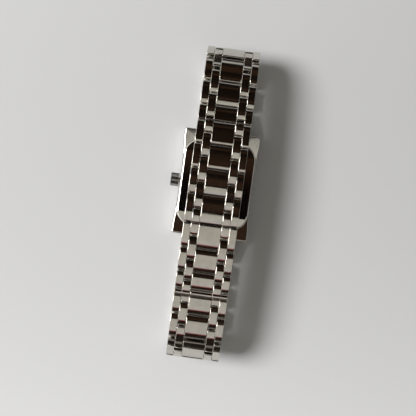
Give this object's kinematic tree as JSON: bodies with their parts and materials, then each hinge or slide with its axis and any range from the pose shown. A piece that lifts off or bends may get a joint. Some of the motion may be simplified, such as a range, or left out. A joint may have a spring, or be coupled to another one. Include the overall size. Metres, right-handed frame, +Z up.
{
  "type": "wristwatch",
  "caption": "Rectangular wristwatch lying dial down, with a raised case back, a crown and a five-column link bracelet closed in a loop by a folding clasp.",
  "frame": {"origin": "centre of the outer face of the crystal, which the watch rests on", "axes": "+X across the case away from the crown, +Y along the bracelet towards 12 o'clock, +Z up from the crystal to the case back and the closed bracelet"},
  "size_m": [0.026, 0.0958, 0.0225],
  "materials": {
    "bracelet_steel": "polished",
    "case_steel": "polished",
    "crown_steel": "polished",
    "clasp_steel": "polished",
    "seal": "matte",
    "crystal": "clear",
    "dial": "satin",
    "hands": "polished",
    "movement_metal": "plain",
    "holder_plastic": "matte",
    "circuit_board": "matte",
    "coil_copper": "wound",
    "battery_steel": "polished"
  },
  "bodies": {
    "case": {"mid_case": "case_steel", "case_back": "case_steel", "case_back_gasket": "seal", "crystal": "crystal", "crystal_gasket": "seal", "dial": "dial", "hour_markers": "hands", "movement_holder": "holder_plastic", "main_plate": "movement_metal", "circuit_board": "circuit_board", "motor_coil": "coil_copper", "motor_stator": "movement_metal", "battery": "battery_steel", "battery_clamp": "movement_metal", "train_bridge": "movement_metal", "crown_tube": "movement_metal", "spring_bars": "case_steel"},
    "upper_end_link": {"upper_end_link": "bracelet_steel"},
    "upper_pair_1": {"upper_pair_1": "bracelet_steel"},
    "upper_row_1": {"upper_row_1": "bracelet_steel"},
    "upper_pair_2": {"upper_pair_2": "bracelet_steel"},
    "upper_row_2": {"upper_row_2": "bracelet_steel"},
    "upper_pair_3": {"upper_pair_3": "bracelet_steel"},
    "upper_row_3": {"upper_row_3": "bracelet_steel"},
    "upper_pair_4": {"upper_pair_4": "bracelet_steel"},
    "upper_row_4": {"upper_row_4": "bracelet_steel"},
    "upper_pair_5": {"upper_pair_5": "bracelet_steel"},
    "upper_row_5": {"upper_row_5": "bracelet_steel"},
    "upper_pair_6": {"upper_pair_6": "bracelet_steel"},
    "upper_row_6": {"upper_row_6": "bracelet_steel"},
    "upper_pair_7": {"upper_pair_7": "bracelet_steel"},
    "upper_short_row": {"upper_short_row": "bracelet_steel"},
    "lower_end_link": {"lower_end_link": "bracelet_steel"},
    "lower_pair_1": {"lower_pair_1": "bracelet_steel"},
    "lower_row_1": {"lower_row_1": "bracelet_steel"},
    "lower_pair_2": {"lower_pair_2": "bracelet_steel"},
    "lower_row_2": {"lower_row_2": "bracelet_steel"},
    "lower_pair_3": {"lower_pair_3": "bracelet_steel"},
    "lower_row_3": {"lower_row_3": "bracelet_steel"},
    "lower_pair_4": {"lower_pair_4": "bracelet_steel"},
    "lower_row_4": {"lower_row_4": "bracelet_steel"},
    "lower_pair_5": {"lower_pair_5": "bracelet_steel"},
    "lower_row_5": {"lower_row_5": "bracelet_steel"},
    "lower_pair_6": {"lower_pair_6": "bracelet_steel"},
    "lower_row_6": {"lower_row_6": "bracelet_steel"},
    "lower_pair_7": {"lower_pair_7": "bracelet_steel"},
    "lower_row_7": {"lower_row_7": "bracelet_steel"},
    "lower_pair_8": {"lower_pair_8": "bracelet_steel"},
    "lower_short_row": {"lower_short_row": "bracelet_steel"},
    "clasp_base": {"clasp_base": "clasp_steel"},
    "clasp_arm": {"clasp_arm": "clasp_steel"},
    "clasp_cover": {"clasp_cover": "clasp_steel"},
    "hour_hand": {"hour_hand": "hands"},
    "minute_hand": {"minute_hand": "hands"},
    "seconds_hand": {"seconds_hand": "hands"},
    "third_wheel": {"third_wheel": "movement_metal"},
    "motor_rotor": {"motor_rotor": "holder_plastic"},
    "setting_lever": {"setting_lever": "movement_metal"},
    "crown": {"crown": "crown_steel", "winding_stem": "movement_metal"}
  },
  "joints": [
    {"name": "upper_end_link_hinge", "type": "hinge", "parent": "case", "child": "upper_end_link", "pos_m": [0, 0.0152, 0.0034], "axis": [-1, 0, 0], "range_deg": [0, 5]},
    {"name": "upper_pair_1_hinge", "type": "hinge", "parent": "upper_end_link", "child": "upper_pair_1", "pos_m": [0, 0.02211, 0.00155], "axis": [-1, 0, 0], "range_deg": [0, 20]},
    {"name": "upper_row_1_hinge", "type": "hinge", "parent": "upper_pair_1", "child": "upper_row_1", "pos_m": [0, 0.02571, 0.00155], "axis": [-1, 0, 0], "range_deg": [0, 5]},
    {"name": "upper_pair_2_hinge", "type": "hinge", "parent": "upper_row_1", "child": "upper_pair_2", "pos_m": [0, 0.02931, 0.00155], "axis": [-1, 0, 0], "range_deg": [0, 5]},
    {"name": "upper_row_2_hinge", "type": "hinge", "parent": "upper_pair_2", "child": "upper_row_2", "pos_m": [0, 0.03291, 0.00155], "axis": [-1, 0, 0], "range_deg": [0, 23.64]},
    {"name": "upper_pair_3_hinge", "type": "hinge", "parent": "upper_row_2", "child": "upper_pair_3", "pos_m": [0, 0.03632, 0.0027], "axis": [-1, 0, 0], "range_deg": [0, 29.86]},
    {"name": "upper_row_3_hinge", "type": "hinge", "parent": "upper_pair_3", "child": "upper_row_3", "pos_m": [0, 0.03893, 0.00518], "axis": [-1, 0, 0], "range_deg": [0, 29.86]},
    {"name": "upper_pair_4_hinge", "type": "hinge", "parent": "upper_row_3", "child": "upper_pair_4", "pos_m": [0, 0.04026, 0.00853], "axis": [-1, 0, 0], "range_deg": [0, 29.86]},
    {"name": "upper_row_4_hinge", "type": "hinge", "parent": "upper_pair_4", "child": "upper_row_4", "pos_m": [0, 0.04005, 0.01212], "axis": [-1, 0, 0], "range_deg": [0, 29.86]},
    {"name": "upper_pair_5_hinge", "type": "hinge", "parent": "upper_row_4", "child": "upper_pair_5", "pos_m": [0, 0.03836, 0.0153], "axis": [-1, 0, 0], "range_deg": [0, 29.86]},
    {"name": "upper_row_5_hinge", "type": "hinge", "parent": "upper_pair_5", "child": "upper_row_5", "pos_m": [0, 0.03549, 0.01747], "axis": [-1, 0, 0], "range_deg": [0, 29.86]},
    {"name": "upper_pair_6_hinge", "type": "hinge", "parent": "upper_row_5", "child": "upper_pair_6", "pos_m": [0, 0.03197, 0.01823], "axis": [-1, 0, 0], "range_deg": [0, 11.21]},
    {"name": "upper_row_6_hinge", "type": "hinge", "parent": "upper_pair_6", "child": "upper_row_6", "pos_m": [0, 0.02839, 0.0186], "axis": [-1, 0, 0], "range_deg": [0, 5]},
    {"name": "upper_pair_7_hinge", "type": "hinge", "parent": "upper_row_6", "child": "upper_pair_7", "pos_m": [0, 0.02481, 0.01898], "axis": [-1, 0, 0], "range_deg": [0, 5]},
    {"name": "upper_short_row_hinge", "type": "hinge", "parent": "upper_pair_7", "child": "upper_short_row", "pos_m": [0, 0.02123, 0.01936], "axis": [-1, 0, 0], "range_deg": [0, 5]},
    {"name": "lower_end_link_hinge", "type": "hinge", "parent": "case", "child": "lower_end_link", "pos_m": [0, -0.0152, 0.0034], "axis": [1, 0, 0], "range_deg": [0, 5]},
    {"name": "lower_pair_1_hinge", "type": "hinge", "parent": "lower_end_link", "child": "lower_pair_1", "pos_m": [0, -0.02242, 0.00155], "axis": [1, 0, 0], "range_deg": [0, 19.38]},
    {"name": "lower_row_1_hinge", "type": "hinge", "parent": "lower_pair_1", "child": "lower_row_1", "pos_m": [0, -0.02602, 0.00155], "axis": [1, 0, 0], "range_deg": [0, 5]},
    {"name": "lower_pair_2_hinge", "type": "hinge", "parent": "lower_row_1", "child": "lower_pair_2", "pos_m": [0, -0.02962, 0.00155], "axis": [1, 0, 0], "range_deg": [0, 5]},
    {"name": "lower_row_2_hinge", "type": "hinge", "parent": "lower_pair_2", "child": "lower_row_2", "pos_m": [0, -0.03322, 0.00155], "axis": [1, 0, 0], "range_deg": [0, 5]},
    {"name": "lower_pair_3_hinge", "type": "hinge", "parent": "lower_row_2", "child": "lower_pair_3", "pos_m": [0, -0.03682, 0.00155], "axis": [1, 0, 0], "range_deg": [0, 5]},
    {"name": "lower_row_3_hinge", "type": "hinge", "parent": "lower_pair_3", "child": "lower_row_3", "pos_m": [0, -0.04042, 0.00155], "axis": [1, 0, 0], "range_deg": [0, 5]},
    {"name": "lower_pair_4_hinge", "type": "hinge", "parent": "lower_row_3", "child": "lower_pair_4", "pos_m": [0, -0.04402, 0.00155], "axis": [1, 0, 0], "range_deg": [0, 17.43]},
    {"name": "lower_row_4_hinge", "type": "hinge", "parent": "lower_pair_4", "child": "lower_row_4", "pos_m": [0, -0.04753, 0.00232], "axis": [1, 0, 0], "range_deg": [0, 29.86]},
    {"name": "lower_pair_5_hinge", "type": "hinge", "parent": "lower_row_4", "child": "lower_pair_5", "pos_m": [0, -0.0504, 0.00451], "axis": [1, 0, 0], "range_deg": [0, 29.86]},
    {"name": "lower_row_5_hinge", "type": "hinge", "parent": "lower_pair_5", "child": "lower_row_5", "pos_m": [0, -0.05208, 0.00769], "axis": [1, 0, 0], "range_deg": [0, 29.86]},
    {"name": "lower_pair_6_hinge", "type": "hinge", "parent": "lower_row_5", "child": "lower_pair_6", "pos_m": [0, -0.05227, 0.01128], "axis": [1, 0, 0], "range_deg": [0, 29.86]},
    {"name": "lower_row_6_hinge", "type": "hinge", "parent": "lower_pair_6", "child": "lower_row_6", "pos_m": [0, -0.05093, 0.01462], "axis": [1, 0, 0], "range_deg": [0, 29.86]},
    {"name": "lower_pair_7_hinge", "type": "hinge", "parent": "lower_row_6", "child": "lower_pair_7", "pos_m": [0, -0.04831, 0.01709], "axis": [1, 0, 0], "range_deg": [0, 29.86]},
    {"name": "lower_row_7_hinge", "type": "hinge", "parent": "lower_pair_7", "child": "lower_row_7", "pos_m": [0, -0.04489, 0.01823], "axis": [1, 0, 0], "range_deg": [0, 17.43]},
    {"name": "lower_pair_8_hinge", "type": "hinge", "parent": "lower_row_7", "child": "lower_pair_8", "pos_m": [0, -0.04131, 0.01861], "axis": [1, 0, 0], "range_deg": [0, 5]},
    {"name": "lower_short_row_hinge", "type": "hinge", "parent": "lower_pair_8", "child": "lower_short_row", "pos_m": [0, -0.03773, 0.01898], "axis": [1, 0, 0], "range_deg": [0, 5]},
    {"name": "clasp_base_hinge", "type": "hinge", "parent": "lower_short_row", "child": "clasp_base", "pos_m": [0, -0.03314, 0.01932], "axis": [1, 0, 0], "range_deg": [-8, 3]},
    {"name": "clasp_arm_hinge", "type": "hinge", "parent": "clasp_base", "child": "clasp_arm", "pos_m": [0, 0.01454, 0.01838], "axis": [-1, 0, 0], "range_deg": [0, 110]},
    {"name": "clasp_cover_hinge", "type": "hinge", "parent": "clasp_arm", "child": "clasp_cover", "pos_m": [0, -0.00741, 0.02011], "axis": [-1, 0, 0], "range_deg": [-110, 0]},
    {"name": "hour_hand_turn", "type": "hinge", "parent": "case", "child": "hour_hand", "pos_m": [0, 0, 0.003], "axis": [0, 0, 1], "continuous": true},
    {"name": "minute_hand_turn", "type": "hinge", "parent": "case", "child": "minute_hand", "pos_m": [0, 0, 0.003], "axis": [0, 0, 1], "continuous": true},
    {"name": "seconds_hand_turn", "type": "hinge", "parent": "case", "child": "seconds_hand", "pos_m": [0, 0, 0.003], "axis": [0, 0, 1], "continuous": true},
    {"name": "third_wheel_turn", "type": "hinge", "parent": "case", "child": "third_wheel", "pos_m": [0.00273, 0.00099, 0.0047], "axis": [0, 0, 1], "continuous": true},
    {"name": "motor_rotor_turn", "type": "hinge", "parent": "case", "child": "motor_rotor", "pos_m": [-0.00146, 0.00274, 0.0047], "axis": [0, 0, 1], "continuous": true},
    {"name": "crown_pull", "type": "slide", "parent": "case", "child": "setting_lever", "axis": [-1, 0, 0], "range_m": [0, 0.001]},
    {"name": "crown_turn", "type": "hinge", "parent": "setting_lever", "child": "crown", "pos_m": [-0.013, 0, 0.0039], "axis": [1, 0, 0], "continuous": true}
  ],
  "couplings": [
    {"joint": "clasp_cover_hinge", "follows": "clasp_arm_hinge", "ratio": -1},
    {"joint": "hour_hand_turn", "follows": "minute_hand_turn", "ratio": 0.083333},
    {"joint": "third_wheel_turn", "follows": "seconds_hand_turn", "ratio": -0.21739},
    {"joint": "motor_rotor_turn", "follows": "seconds_hand_turn", "ratio": -4}
  ]
}
